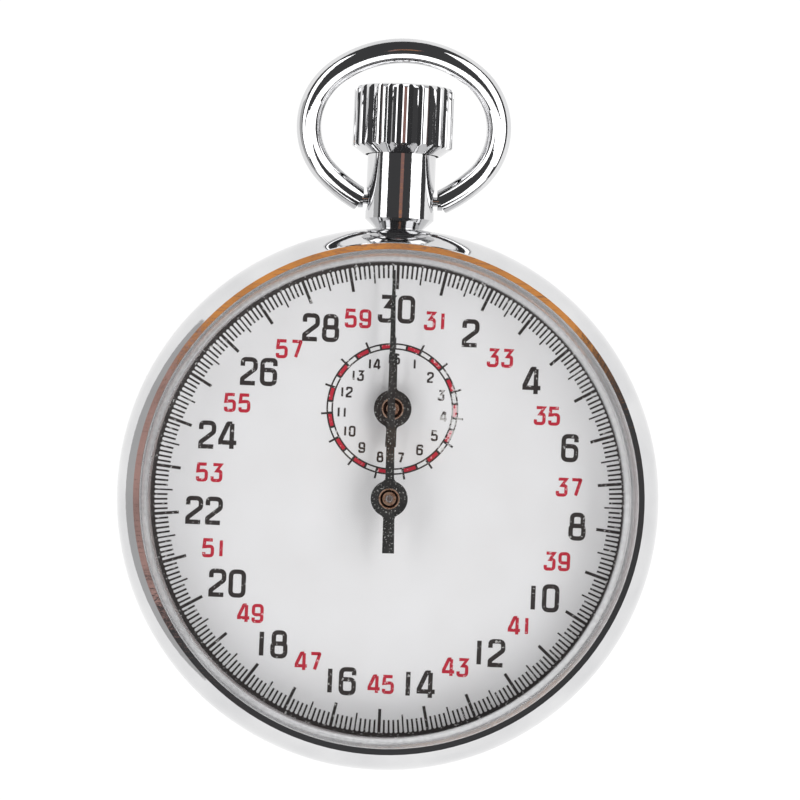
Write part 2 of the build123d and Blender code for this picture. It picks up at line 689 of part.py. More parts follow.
def main_plate():
    low, high = PLATE_Z
    body = drilled(disc(23.6, low, high), plate_holes(), low, high)
    for centre, _ in PLATE_JEWELS:
        body -= disc(JEWEL_R, high - JEWEL_H, high, centre)
    for foot in DIAL_FEET:
        body -= disc(DIAL_FOOT_R, high - 1.0, high, foot)
    body -= Pos(0, 17.3, low) * Box(7.0, 1.5, 3.0, align=(Align.CENTER, Align.MIN, Align.MIN))
    body -= Pos(0, 20.9, low) * Box(3.8, 4.0, 3.0, align=(Align.CENTER, Align.MIN, Align.MIN))
    block = Pos(0, 18.9, 4.6) * Box(4.4, 1.4, low + 0.8 - 4.6, align=(Align.CENTER, Align.MIN, Align.MIN))
    return body + block - rod_on_stem(1.2 + RUNNING, 18.0, 21.0)


def case_screw_places():
    return [along((0, 0), angle, CASE_SCREW_RING_R) for angle in CASE_SCREW_ANGLES]


def jewels():
    rings = []
    for holes, low in ((TRAIN_JEWELS + COCK_JEWELS, BRIDGE_Z[0]), (PLATE_JEWELS, PLATE_Z[1] - JEWEL_H)):
        rings += [tube(JEWEL_R, pivot, low, low + JEWEL_H, centre) for centre, pivot in holes]
    return group(rings)


def bridge_screws():
    head = BRIDGE_Z[0] - SCREW_HEAD_H
    small_head = PALLET_BRIDGE_Z[0] - SCREW_HEAD_H
    feet = BARREL_FEET + TRAIN_FEET + COCK_FEET
    screws = [slotted_screw(centre, head, PIVOT_Z[1]) for centre, _ in feet]
    screws += [slotted_screw(foot, small_head, PIVOT_Z[1], SMALL_SCREW_R, 0.65) for foot in PALLET_FEET]
    return group(screws)


def case_screws():
    head = PLATE_Z[0] - SCREW_HEAD_H
    places = case_screw_places()
    return group([slotted_screw(place, head, PIVOT_Z[1], CLICK_SCREW_R, 1.2) for place in places])


def lever_studs():
    """Shouldered pivots of the operating lever, reset hammer and brake lever."""
    studs = []
    for centre in (HAMMER_PIVOT, BRAKE_PIVOT):
        stud = slotted_screw(centre, LEVER_Z[0] - 0.5, BRIDGE_Z[1] - 0.1)
        studs.append(stud + disc(0.8, LEVER_Z[1] + 0.05, BRIDGE_Z[0], centre))
    stud = slotted_screw(LEVER_PIVOT, OPERATING_Z[0] - 0.5, PIVOT_Z[1])
    studs.append(stud + disc(0.8, OPERATING_Z[1] + 0.05, PLATE_Z[0], LEVER_PIVOT))
    return group(studs)


# Start, stop and reset works

def operating_lever():
    tip, tail = (0.3, 14.85), (11.9, 5.5)
    body = chain((tip, LEVER_PIVOT, tail), 0.8, *OPERATING_Z)
    body += disc(0.9, *OPERATING_Z, tip) + disc(1.3, *OPERATING_Z, LEVER_PIVOT)
    hook = [(12.2, 6.3), (13.0, 5.9), (12.2, 4.95), (11.4, 4.9)]
    body = body - disc(5.2, *OPERATING_Z, COLUMN) + capsule((11.6, 7.0), (11.75, 6.0), 0.5, *OPERATING_Z)
    body += slab(hook, *OPERATING_Z) - disc(3.5, *OPERATING_Z, COLUMN)
    return drilled(body, ((LEVER_PIVOT, SCREW_R + RUNNING),), *OPERATING_Z)


def column_wheel():
    outline = []
    teeth = 12
    for tooth in range(teeth):
        for share, radius in ((0.0, 3.0), (0.06, 2.3), (0.9, 2.95)):
            outline.append(along(COLUMN, 360 * (tooth + share) / teeth, radius))
    body = slab(outline, *OPERATING_Z)
    body += disc(COLUMN_PIVOT_R, 2.9, PIVOT_Z[1], COLUMN) + disc(1.0, 5.1, 7.6, COLUMN)
    body += disc(2.4, 2.5, 3.0, COLUMN) + disc(1.0, 3.0, 3.7, COLUMN)
    for i in range(6):
        post = tube(2.4, 1.4, LEVER_Z[0] - 0.1, 2.55, COLUMN)
        wedge = [COLUMN] + [along(COLUMN, 60 * i + turn, 4.0) for turn in (-14, 14)]
        body += post & slab(wedge, LEVER_Z[0] - 0.1, 2.55)
    return body


def column_jumper():
    low, high = OPERATING_Z
    body = disc(1.0, low, PLATE_Z[0], JUMPER_FOOT)
    body += chain(((19.6, 8.1), (18.6, 5.0), (17.75, 3.9)), 0.18, low, high)
    return body + disc(CLICK_SCREW_R, low - 0.2, PIVOT_Z[1], JUMPER_FOOT)


def reset_hammer():
    spine = ((8.5, -7.5), (6.6, 1.2), (5.6, 9.08))
    body = chain(spine, 0.75, *LEVER_Z) + disc(1.3, *LEVER_Z, HAMMER_PIVOT)
    body += chain(((6.6, 1.2), (10.9, 2.6)), 0.55, *LEVER_Z)
    for heart_y, face_x in ((0.0, 2.55), (SUBDIAL_Y, 2.95)):
        body += capsule((6.0, heart_y), (face_x + 0.7, heart_y), 0.6, *LEVER_Z)
        body += slab(((face_x, heart_y - 1.2), (face_x + 0.9, heart_y - 1.2),
                      (face_x + 0.9, heart_y + 1.2), (face_x, heart_y + 1.2)), *LEVER_Z)
    return drilled(body, ((HAMMER_PIVOT, SCREW_R + RUNNING),), *LEVER_Z)


def hammer_spring():
    low, high = LEVER_Z[0] + 0.05, LEVER_Z[1] - 0.05
    wire = chain(((11.2, -3.6), (9.3, -1.0), (8.1, 0.2)), 0.13, low, high)
    return wire + disc(0.6, low, BRIDGE_Z[0], (11.2, -3.6))


def brake_lever():
    tip, tail = (7.6, -12.0), (15.0, -0.7)
    body = chain((tip, BRAKE_PIVOT, tail), 0.5, *LEVER_Z) + disc(1.2, *LEVER_Z, BRAKE_PIVOT)
    body += disc(0.4, LEVER_Z[0], BALANCE_Z[1], tip)
    return drilled(body, ((BRAKE_PIVOT, SCREW_R + RUNNING),), *LEVER_Z)


# Minute counter

def minute_idler_wheel():
    wheel = gear(COUNTER_WHEEL_1, COUNTER_MODULE, *COUNTER_Z, COUNTER_IDLER,
                 driven_phase(COUNTER_WHEEL_1, COUNTER_IDLER, SECONDS))
    for window in windows(4, 2.1, 0.9, *COUNTER_Z, COUNTER_IDLER):
        wheel -= window
    wheel += gear(COUNTER_LEAVES, COUNTER_MODULE, COUNTER_Z[1] - 0.01, 10.2, COUNTER_IDLER,
                  facing(COUNTER_IDLER, MINUTES))
    return wheel + disc(TRAIN_PIVOT_R, PLATE_Z[0] + 0.4, 10.3, COUNTER_IDLER)


def minute_wheel():
    wheel = gear(COUNTER_WHEEL_2, COUNTER_MODULE, *MINUTE_WHEEL_Z, MINUTES,
                 driven_phase(COUNTER_WHEEL_2, MINUTES, COUNTER_IDLER))
    for window in windows(5, 2.6, 1.1, *MINUTE_WHEEL_Z, MINUTES):
        wheel -= window
    wheel += disc(0.75, PLATE_Z[1] + 0.03, 10.3, MINUTES)
    return drilled(wheel, ((MINUTES, MINUTES_ARBOR_R + RUNNING),), PLATE_Z[1], 10.4)


def minute_arbor():
    body = disc(MINUTES_ARBOR_R, ARBOR_LOW_Z, MINUTES_HAND_Z[1] + 0.2, MINUTES)
    return chamfer(body.edges().group_by(Axis.Z)[-1], ARBOR_TIP_BEVEL)


def minute_heart():
    return drilled(heart(1.7, 0.7, *LEVER_Z, MINUTES), ((MINUTES, MINUTES_ARBOR_R),), *LEVER_Z)


# Hands

def hand_outline(hub_r, pointer, tail):
    """A hand along +Y: a round hub, a tapered pointer given as (y, half width) pairs, and a tail."""
    right = [(half, y) for y, half in pointer]
    left = [(-half, y) for y, half in reversed(pointer)]
    body = make_face(Polyline(*right, *left, close=True)) + Circle(hub_r)
    (tail_y, tail_half), (root_y, root_half) = tail
    corners = ((root_half, -root_y), (-root_half, -root_y), (-tail_half, -tail_y), (tail_half, -tail_y))
    return body + make_face(Polyline(*corners, close=True))


def hand_fillets(outline, hub_r, radius):
    """Rounds the inner corners where the pointer and the tail leave the hub."""
    corners = [v for v in outline.vertices() if abs(hypot(v.X, v.Y) - hub_r) < 0.02]
    return fillet(corners, radius)


def hand_bush(outer, inner, low, high, centre):
    """A tube with a groove turned into its upper end, and its upper edges bevelled."""
    body = tube(outer, inner, low, high, centre)
    body -= tube(outer - BUSH_LIP, inner + BUSH_WALL, high - BUSH_GROOVE, high + 1, centre)
    return chamfer(body.edges().group_by(Axis.Z)[-1], BUSH_BEVEL)


def seconds_hand():
    pointer = ((0.5, 0.45), (9.0, 0.38), (17.0, 0.25), (23.0, 0.14))
    outline = hand_outline(SECONDS_HUB_R, pointer, ((5.48, 0.6), (0.5, 0.55)))
    outline = hand_fillets(outline, SECONDS_HUB_R, 0.5)
    low, high = SECONDS_HAND_Z
    body = extrude(outline - Circle(SECONDS_BUSH_R), high - low)
    return Pos(SECONDS[0], SECONDS[1], low) * Rot(0, 0, SECONDS_REST) * body


def seconds_hand_bush():
    low, high = SECONDS_HAND_Z
    return hand_bush(SECONDS_BUSH_R, SECONDS_ARBOR_R, low - 0.5, high + 0.12, SECONDS)


def minute_hand():
    pointer = ((0.5, 0.36), (5.6, 0.16))
    outline = hand_outline(MINUTES_HUB_R, pointer, ((3.86, 0.55), (0.5, 0.5)))
    outline = hand_fillets(outline, MINUTES_HUB_R, 0.4)
    low, high = MINUTES_HAND_Z
    body = extrude(outline - Circle(MINUTES_BUSH_R), high - low)
    return Pos(MINUTES[0], MINUTES[1], low) * Rot(0, 0, MINUTES_REST) * body


def minute_hand_bush():
    low, high = MINUTES_HAND_Z
    return hand_bush(MINUTES_BUSH_R, MINUTES_ARBOR_R, low - 0.4, high + 0.1, MINUTES)


# Bow

def bow():
    """Round wire bent into an oval of five tangent arcs, with turned-down ends in the pendant."""
    heading = 90 + BOW_TOP_TURN / 2 + BOW_SIDE_TURN + BOW_FOOT_TURN - 90
    start = (-BOW_FOOT_X, BOW_PIVOT_Y)
    foot, side = (BOW_FOOT_R, BOW_FOOT_TURN), (BOW_SIDE_R, BOW_SIDE_TURN)
    arcs = []
    for radius, turn in (foot, side, (BOW_TOP_R, BOW_TOP_TURN), side, foot):
        arc = JernArc(start, (cos(radians(heading)), sin(radians(heading))), radius, -turn)
        arcs.append(arc)
        start = arc @ 1
        heading -= turn
    path = Wire(arcs)
    body = sweep(Plane(path @ 0, z_dir=path % 0) * Circle(BOW_WIRE_R), path=path)
    body -= Pos(0, BOW_PIVOT_Y, 0) * Box(2 * PENDANT_R + 0.5, 6, 6)
    for end, side in ((path @ 0, -1), (path @ 1, 1)):
        spigot = Cylinder(0.5, 1.9)
        bead = Cylinder(0.9, 0.5)
        body += Pos(end.X - side * 0.6, BOW_PIVOT_Y, 0) * Rot(0, 90, 0) * spigot
        body += Pos(end.X - side * 0.1, BOW_PIVOT_Y, 0) * Rot(0, 90, 0) * bead
    return Pos(0, BOW_PIVOT_Y, STEM_Z) * Rot(BOW_REST_TILT, 0, 0) * Pos(0, -BOW_PIVOT_Y, 0) * body


SUBPARTS = (
    back_cover, case_band, bezel, crystal, crystal_ring, dial, pendant_tube, pendant_bush,
    main_plate, barrel_bridge, train_bridge, balance_cock, pallet_bridge, jewels, bridge_screws,
    case_screws, lever_studs, wheel_screws, regulator, hairspring_stud, click_spring,
    column_jumper, hammer_spring, crown_return_spring, push_sleeve, crown_cap, winding_stem,
    winding_pinion, crown_wheel, ratchet_wheel, ratchet_screw, barrel_arbor, barrel_drum,
    barrel_cover, mainspring, intermediate_wheel, seconds_wheel, seconds_arbor, seconds_heart,
    seconds_hand, seconds_hand_bush, escape_wheel, pallet_fork, pallet_stones, balance_wheel,
    balance_staff, roller, hairspring, minute_idler_wheel, minute_wheel, minute_arbor,
    minute_heart, minute_hand, minute_hand_bush, click, operating_lever, column_wheel,
    reset_hammer, brake_lever, bow,
)

os.makedirs("parts", exist_ok=True)
for make in SUBPARTS:
    export_step(make(), f"parts/{make.__name__}.step")
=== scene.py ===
import json
from math import cos, radians, sin, sqrt, tan

import bmesh
import bpy
from mathutils import Matrix, Vector


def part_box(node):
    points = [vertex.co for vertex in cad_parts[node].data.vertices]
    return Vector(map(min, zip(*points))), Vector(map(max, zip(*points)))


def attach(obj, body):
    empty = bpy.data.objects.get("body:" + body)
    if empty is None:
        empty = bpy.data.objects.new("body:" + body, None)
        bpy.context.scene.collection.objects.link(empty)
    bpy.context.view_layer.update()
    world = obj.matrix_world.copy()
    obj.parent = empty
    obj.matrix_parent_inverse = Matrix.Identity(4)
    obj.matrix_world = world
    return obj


# A mechanical stopwatch. Lengths in this script are millimetres in the CAD frame, and are turned
# into metres where an object is made: +Z comes out of the dial and +Y runs to the crown.
MM = 0.001

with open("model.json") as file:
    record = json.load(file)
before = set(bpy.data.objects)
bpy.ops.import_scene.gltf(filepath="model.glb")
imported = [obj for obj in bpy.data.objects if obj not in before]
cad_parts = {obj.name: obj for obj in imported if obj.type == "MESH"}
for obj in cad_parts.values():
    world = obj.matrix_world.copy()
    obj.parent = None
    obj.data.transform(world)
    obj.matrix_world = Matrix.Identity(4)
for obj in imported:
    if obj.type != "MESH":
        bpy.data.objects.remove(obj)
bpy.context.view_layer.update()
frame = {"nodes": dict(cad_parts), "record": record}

# Printing on the dial. A row of ticks is every how many tenths, its inner radius and its width
DIAL_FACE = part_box("dial")[1].z / MM
DIAL_EDGE_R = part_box("dial")[1].x / MM
INK = 0.012
SCALE_RING_R = 23.52
SCALLOP = 0.11
TICKS = 300
SECONDS_ON_DIAL = 30
TICK_ENDS = ((10, 21.2, 0.3), (5, 21.8, 0.16), (1, 22.3, 0.19))
EVEN_TEXT = {"height": 2.84, "stroke": 0.45, "pitch": 1.99, "corner": 20.68, "inset": 0.35}
ODD_TEXT = {"height": 1.93, "stroke": 0.33, "pitch": 1.46, "corner": 19.72, "inset": 0.0}
MINUTE_TEXT = {"height": 1.1, "stroke": 0.2, "pitch": 0.79, "corner": 5.62, "inset": 0.0}
MINUTES_ON_DIAL = 15
MINUTE_RING_R = (6.0, 6.66)
MINUTE_BOX_R = (6.16, 6.5)
MINUTE_TICK_R = 7.22
MINUTE_CENTRE = tuple((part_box("minute_arbor")[0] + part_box("minute_arbor")[1]).xy / 2 / MM)

# Heights between which a bush turns from the painted shade of its dark groove to its bright upper face
SECONDS_BUSH_PAINTED_SHADE = (13.0, 13.14)
MINUTE_BUSH_PAINTED_SHADE = (11.68, 11.82)
BETWEEN_BUSHES = (12.1, 12.3)

# The crystal's foot, seen through its edge, carries painted light: its centre and the radii where a painted
# pale band starts and where painted shade darkens it
FOOT_CENTRE = (-0.35, -0.1, 0.0)
FOOT_INNER = (23.75, 23.95)
FOOT_SHADE = (24.25, 24.45)

# Widths are for a glyph whose strokes' middle lines are 1 high
GLYPH_W = 0.54
NARROW_SHARE = 0.78


def glyph_table():
    """Strokes of the digits: whether each is closed, and its corners as (x, y, rounding)."""
    w = GLYPH_W
    return {
        "0": [(True, [(0, 0, 0.2), (w, 0, 0.2), (w, 1, 0.2), (0, 1, 0.2)])],
        "1": [(False, [(w / 2, 0, 0), (w / 2, 1, 0)])],
        "2": [
            (False, [(0, 0.72, 0), (0, 1, 0.2), (w, 1, 0.2), (w, 0.62, 0.15), (0, 0.18, 0.08),
                     (0, 0, 0), (w, 0, 0)]),
        ],
        "3": [
            (False, [(0.05, 1, 0), (w, 1, 0), (0.27, 0.6, 0), (w, 0.6, 0.18), (w, 0, 0.2),
                     (0, 0, 0.2), (0, 0.25, 0)]),
        ],
        "4": [
            (False, [(0.47, 1, 0), (0.47, -0.06, 0)]),
            (False, [(0.47, 1, 0), (0.3, 1, 0.04), (0, 0.3, 0.03), (0, 0.2, 0), (0.67, 0.2, 0)]),
        ],
        "5": [
            (False, [(w, 1, 0), (0.04, 1, 0), (0, 0.56, 0), (w, 0.62, 0.2), (w, 0, 0.2),
                     (0, 0, 0.2), (0, 0.22, 0)]),
        ],
        "6": [
            (True, [(0, 0, 0.2), (w, 0, 0.2), (w, 0.58, 0.2), (0, 0.58, 0.05)]),
            (False, [(0, 0.4, 0), (0, 1, 0.2), (w, 1, 0.2), (w, 0.76, 0)]),
        ],
        "7": [(False, [(0, 1, 0), (w, 1, 0.03), (0.24, 0, 0)])],
        "8": [
            (True, [(0.04, 0.53, 0.12), (w - 0.04, 0.53, 0.12), (w - 0.04, 1, 0.18), (0.04, 1, 0.18)]),
            (True, [(0, 0, 0.2), (w, 0, 0.2), (w, 0.53, 0.15), (0, 0.53, 0.15)]),
        ],
        "9": [
            (True, [(0, 0.42, 0.2), (w, 0.42, 0.05), (w, 1, 0.2), (0, 1, 0.2)]),
            (False, [(w, 0.6, 0), (w, 0, 0.2), (0, 0, 0.2), (0, 0.24, 0)]),
        ],
    }


GLYPHS = glyph_table()
ARC_STEPS = 6
MITRE_LIMIT = 1.8


# Shapes

def polar(angle, radius, centre=(0.0, 0.0)):
    """The point at a clockwise angle from 12 o'clock, in degrees."""
    return (centre[0] + radius * sin(radians(angle)), centre[1] + radius * cos(radians(angle)))


def rounded(corners, closed):
    """A path through corners given as (x, y, rounding), with its corners rounded by arcs."""
    path = []
    count = len(corners)
    for i, (x, y, radius) in enumerate(corners):
        here = Vector((x, y))
        if radius == 0 or (not closed and i in (0, count - 1)):
            path.append(here)
            continue
        back = Vector(corners[i - 1][:2]) - here
        ahead = Vector(corners[(i + 1) % count][:2]) - here
        half = back.angle(ahead) / 2
        reach = min(radius / tan(half), back.length * 0.5, ahead.length * 0.5)
        start, end = here + back.normalized() * reach, here + ahead.normalized() * reach
        for step in range(ARC_STEPS + 1):
            t = step / ARC_STEPS
            path.append(start.lerp(here, t).lerp(here.lerp(end, t), t))
    return path


def offset_sides(path, half_width, closed):
    """The two sides of a stroke that follows a path, with mitred corners."""
    left, right = [], []
    count = len(path)
    for i, point in enumerate(path):
        before = path[i - 1] if closed or i > 0 else None
        after = path[(i + 1) % count] if closed or i < count - 1 else None
        into = (point - before).normalized() if before is not None else (after - point).normalized()
        out = (after - point).normalized() if after is not None else into
        normal = Vector((-into.y - out.y, into.x + out.x)).normalized()
        stretch = min(1 / max(normal.dot(Vector((-into.y, into.x))), 0.1), MITRE_LIMIT)
        left.append(point + normal * half_width * stretch)
        right.append(point - normal * half_width * stretch)
    return left, right


class Print:
    """Flat closed prisms on the dial, collected into one mesh."""

    def __init__(self):
        self.points, self.faces = [], []

    def strip(self, left, right, top, closed=False):
        """A strip between two rows of points, from the dial's face up to a height above it."""
        base, count = len(self.points), len(left)
        for a, b in zip(left, right):
            for x, y in (a, b):
                self.points.append((x, y, DIAL_FACE - 0.001))
                self.points.append((x, y, DIAL_FACE + top))
        for i in range(count if closed else count - 1):
            a, b = base + 4 * i, base + 4 * ((i + 1) % count)
            for p, q in ((0, 1), (1, 3), (3, 2), (2, 0)):
                self.faces.append((a + p, a + q, b + q, b + p))
        if not closed:
            last = base + 4 * (count - 1)
            self.faces.append((base, base + 2, base + 3, base + 1))
            self.faces.append((last, last + 1, last + 3, last + 2))

    def bar(self, angle, inner, outer, width, top, centre=(0.0, 0.0)):
        """A radial tick."""
        side = Vector(polar(angle + 90, width / 2))
        ends = [Vector(polar(angle, radius, centre)) for radius in (inner, outer)]
        self.strip([end + side for end in ends], [end - side for end in ends], top)

    def sector(self, start, turn, radii, top, centre=(0.0, 0.0)):
        """A piece of a ring between two radii."""
        steps = max(2, int(turn / 2))
        rows = []
        for radius in radii:
            rows.append([polar(start + turn * i / steps, radius, centre) for i in range(steps + 1)])
        self.strip(rows[0], rows[1], top)

    def label(self, text, angle, style, centre=(0.0, 0.0)):
        """Upright digits whose outermost corner touches a circle, at an angle from 12 o'clock.

        A lone digit's circle is smaller by the style's inset.
        """
        stroke, scale = style["stroke"], style["height"] - style["stroke"]
        halves = [stroke / 2 if digit == "1" else (GLYPH_W * scale + stroke) / 2 for digit in text]
        shares = [NARROW_SHARE if digit == "1" else 1.0 for digit in text]
        step = style["pitch"] * sum(shares) / 2 if len(text) == 2 else 0.0
        half_width, half_height = (halves[0] + step + halves[-1]) / 2, style["height"] / 2
        corner_r = style["corner"] - (style["inset"] if len(text) == 1 else 0.0)
        lean = half_width * abs(sin(radians(angle))) + half_height * abs(cos(radians(angle)))
        reach = sqrt(lean ** 2 + corner_r ** 2 - half_width ** 2 - half_height ** 2) - lean
        middle = polar(angle, reach, centre)
        for i, digit in enumerate(text):
            x = middle[0] - half_width + halves[0] + i * step
            corner = Vector((x - GLYPH_W * scale / 2, middle[1] - scale / 2))
            for layer, (closed, corners) in enumerate(GLYPHS[digit]):
                path = [corner + point * scale for point in rounded(corners, closed)]
                left, right = offset_sides(path, stroke / 2, closed)
                self.strip(left, right, INK + 0.001 * layer, closed)

    def make(self, name, material):
        """The collected prisms as one object on the case."""
        mesh = bpy.data.meshes.new(name)
        mesh.from_pydata([Vector(p) * MM for p in self.points], [], self.faces)
        return finished(name, mesh, material)


def finished(name, mesh, material, body="case"):
    """Links a mesh as a named object with outward normals, riding on a body."""
    work = bmesh.new()
    work.from_mesh(mesh)
    bmesh.ops.recalc_face_normals(work, faces=work.faces)
    work.to_mesh(mesh)
    work.free()
    piece = bpy.data.objects.new(name, mesh)
    bpy.context.scene.collection.objects.link(piece)
    mesh.materials.append(material)
    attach(piece, body)
    return piece


# Materials: each is one Principled shader whose colour, roughness and bump come from nodes

class Shader:
    """A new material with its Principled shader and the object's own coordinates in millimetres."""

    def __init__(self, name, **settings):
        self.material = bpy.data.materials.new(name)
        self.material.use_nodes = True
        self.tree = self.material.node_tree
        self.nodes, self.links = self.tree.nodes, self.tree.links
        self.principled = self.nodes["Principled BSDF"]
        for socket, value in settings.items():
            self.principled.inputs[socket.replace("_", " ")].default_value = value
        coordinate = self.nodes.new("ShaderNodeTexCoord")
        self.place = coordinate.outputs["Object"]

    def scaled(self, stretch=(1, 1, 1), centre=(0, 0, 0)):
        """Millimetre coordinates about a centre, stretched."""
        mapping = self.nodes.new("ShaderNodeMapping")
        for axis in range(3):
            mapping.inputs["Scale"].default_value[axis] = stretch[axis] / MM
            mapping.inputs["Location"].default_value[axis] = -centre[axis] * stretch[axis]
        self.links.new(self.place, mapping.inputs["Vector"])
        return mapping.outputs["Vector"]

    def noise(self, scale, detail=3.0, stretch=(1, 1, 1)):
        """A noise value with so many features to a millimetre."""
        texture = self.nodes.new("ShaderNodeTexNoise")
        texture.inputs["Scale"].default_value = scale
        texture.inputs["Detail"].default_value = detail
        self.links.new(self.scaled(stretch), texture.inputs["Vector"])
        return texture.outputs["Fac"]

    def ranged(self, value, low, high, to_low=0.0, to_high=1.0):
        """A value mapped from one range to another and kept inside it."""
        node = self.nodes.new("ShaderNodeMapRange")
        self.links.new(value, node.inputs["Value"])
        limits = {"From Min": low, "From Max": high, "To Min": to_low, "To Max": to_high}
        for socket, number in limits.items():
            node.inputs[socket].default_value = number
        return node.outputs["Result"]

    def product(self, a, b, operation="MULTIPLY"):
        """Two values joined by a math node."""
        node = self.nodes.new("ShaderNodeMath")
        node.operation = operation
        for socket, value in zip(node.inputs, (a, b)):
            if isinstance(value, (int, float)):
                socket.default_value = value
            else:
                self.links.new(value, socket)
        return node.outputs["Value"]

    def mixed(self, share, a, b):
        """Two colours mixed by a share."""
        node = self.nodes.new("ShaderNodeMix")
        node.data_type = "RGBA"
        self.links.new(share, node.inputs["Factor"])
        for socket, colour in ((node.inputs[6], a), (node.inputs[7], b)):
            if isinstance(colour, tuple):
                socket.default_value = (*colour, 1.0)
            else:
                self.links.new(colour, socket)
        return node.outputs[2]

    def colour(self, value):
        self.links.new(value, self.principled.inputs["Base Color"])

    def roughness(self, value):
        self.links.new(value, self.principled.inputs["Roughness"])

    def bump(self, height, depth):
        """Bump from a height value, with its depth in millimetres."""
        node = self.nodes.new("ShaderNodeBump")
        node.inputs["Distance"].default_value = depth * MM
        self.links.new(height, node.inputs["Height"])
        self.links.new(node.outputs["Normal"], self.principled.inputs["Normal"])


def case_chrome():
    """Bright plate with faint smudges, an uneven skin and fine hairlines."""
    s = Shader("bright_chrome", Metallic=1.0)
    smudge = s.noise(0.16, 4.0)
    s.colour(s.mixed(s.ranged(smudge, 0.35, 0.7), (0.72, 0.72, 0.725), (0.64, 0.64, 0.65)))
    s.roughness(s.ranged(smudge, 0.4, 0.75, 0.035, 0.11))
    skin = s.noise(1.6, 2.0)
    hairline = s.ranged(s.noise(0.9, 5.0, (0.35, 7.0, 0.35)), 0.6, 0.66)
    s.bump(s.product(skin, s.product(hairline, 0.12), "ADD"), 0.0035)
    return s.material


def crystal_acrylic():
    """Clear acrylic that mirrors a little more at a grazing angle, with a painted highlight on its foot: a
    pale band flecked with painted glints, and painted shade just inside the bezel.
    """
    s = Shader("clear_acrylic", Base_Color=(0.7, 0.7, 0.71, 1))
    facing = s.nodes.new("ShaderNodeLayerWeight").outputs["Facing"]
    mirror = s.ranged(s.product(facing, 5.0, "POWER"), 0.0, 1.0, 0.012, 1.0)
    haze = s.ranged(s.noise(0.35, 5.0), 0.5, 0.9, 0.0, 0.02)
    length = s.nodes.new("ShaderNodeVectorMath")
    length.operation = "LENGTH"
    s.links.new(s.scaled((1, 1, 0), FOOT_CENTRE), length.inputs[0])
    radius = length.outputs["Value"]
    # Painted highlight and shade: the foot turns into a pale band, is darkened further out by painted shade
    # and is flecked with painted glints
    foot = s.ranged(radius, *FOOT_INNER, 0.0, 1.0)
    shade = s.ranged(radius, *FOOT_SHADE, 1.0, 0.45)
    glint = s.ranged(s.product(s.noise(0.12, 2.0), s.noise(2.2, 3.0), "ADD"), 0.8, 1.25, 0.75, 1.05)
    painted_foot_light_and_shade = s.product(s.product(foot, shade), glint)
    s.links.new(s.ranged(painted_foot_light_and_shade, 0.0, 0.1, 1.0, 0.0), s.principled.inputs["Metallic"])
    clear = s.product(mirror, haze, "ADD")
    s.links.new(s.product(clear, s.product(painted_foot_light_and_shade, 0.62), "ADD"), s.principled.inputs["Alpha"])
    s.roughness(s.ranged(s.noise(0.5, 6.0), 0.3, 0.8, 0.015, 0.06))
    return s.material


def turned_ring():
    """Bright turned metal with fine rings left by the tool."""
    s = Shader("turned_ring", Metallic=1.0)
    grain = s.noise(6.0, 2.0, (0.2, 0.2, 4.0))
    s.colour(s.mixed(grain, (0.82, 0.82, 0.83), (0.7, 0.7, 0.71)))
    s.roughness(s.ranged(grain, 0.3, 0.7, 0.16, 0.3))
    s.bump(grain, 0.004)
    return s.material


def dial_silver():
    """Satin silvering, very slightly mottled, with a fine matt grain."""
    s = Shader("satin_silver_dial", Metallic=0.0, Specular_IOR_Level=0.3)
    mottle = s.ranged(s.noise(0.12, 5.0), 0.3, 0.7)
    speck = s.ranged(s.noise(2.6, 3.0), 0.7, 0.76)
    base = s.mixed(mottle, (0.80, 0.795, 0.80), (0.835, 0.835, 0.845))
    s.colour(s.mixed(s.product(speck, 0.25), base, (0.6, 0.58, 0.57)))
    grain = s.noise(9.0, 2.0)
    s.roughness(s.ranged(grain, 0.3, 0.7, 0.42, 0.56))
    s.bump(grain, 0.003)
    return s.material


def ink(name, colour, pale):
    """Printed ink with pale flecks, worn more beside the minute dial's right-hand side."""
    s = Shader(name, Metallic=0.0)
    fleck = s.noise(3.4, 4.0)
    distance = s.nodes.new("ShaderNodeVectorMath")
    distance.operation = "DISTANCE"
    s.links.new(s.scaled(), distance.inputs[0])
    distance.inputs[1].default_value = (6.6, 8.6, DIAL_FACE)
    worn = s.ranged(distance.outputs["Value"], 1.5, 5.5, 0.17, 0.0)
    share = s.ranged(s.product(fleck, worn, "ADD"), 0.62, 0.68)
    s.colour(s.mixed(share, colour, pale))
    s.roughness(s.ranged(fleck, 0.3, 0.7, 0.38, 0.6))
    s.bump(fleck, 0.006)
    return s.material


def hand_lacquer():
    """Black lacquer with dust in it."""
    s = Shader("dusty_black_lacquer", Metallic=0.0)
    dust = s.noise(5.5, 5.0)
    film = s.ranged(s.noise(0.8, 3.0), 0.3, 0.7)
    base = s.mixed(film, (0.012, 0.012, 0.012), (0.03, 0.03, 0.029))
    s.colour(s.mixed(s.ranged(dust, 0.6, 0.66, 0.0, 0.85), base, (0.5, 0.5, 0.48)))
    s.roughness(s.ranged(dust, 0.3, 0.7, 0.3, 0.6))
    s.bump(dust, 0.01)
    return s.material


def metal(name, light, dark, smooth, rough, grain=2.5, stretch=(1, 1, 1)):
    """A ground, brushed or blued metal in two near tones."""
    s = Shader(name, Metallic=1.0)
    pattern = s.noise(grain, 4.0, stretch)
    s.colour(s.mixed(pattern, light, dark))
    s.roughness(s.ranged(pattern, 0.3, 0.7, smooth, rough))
    s.bump(pattern, 0.004)
    return s.material


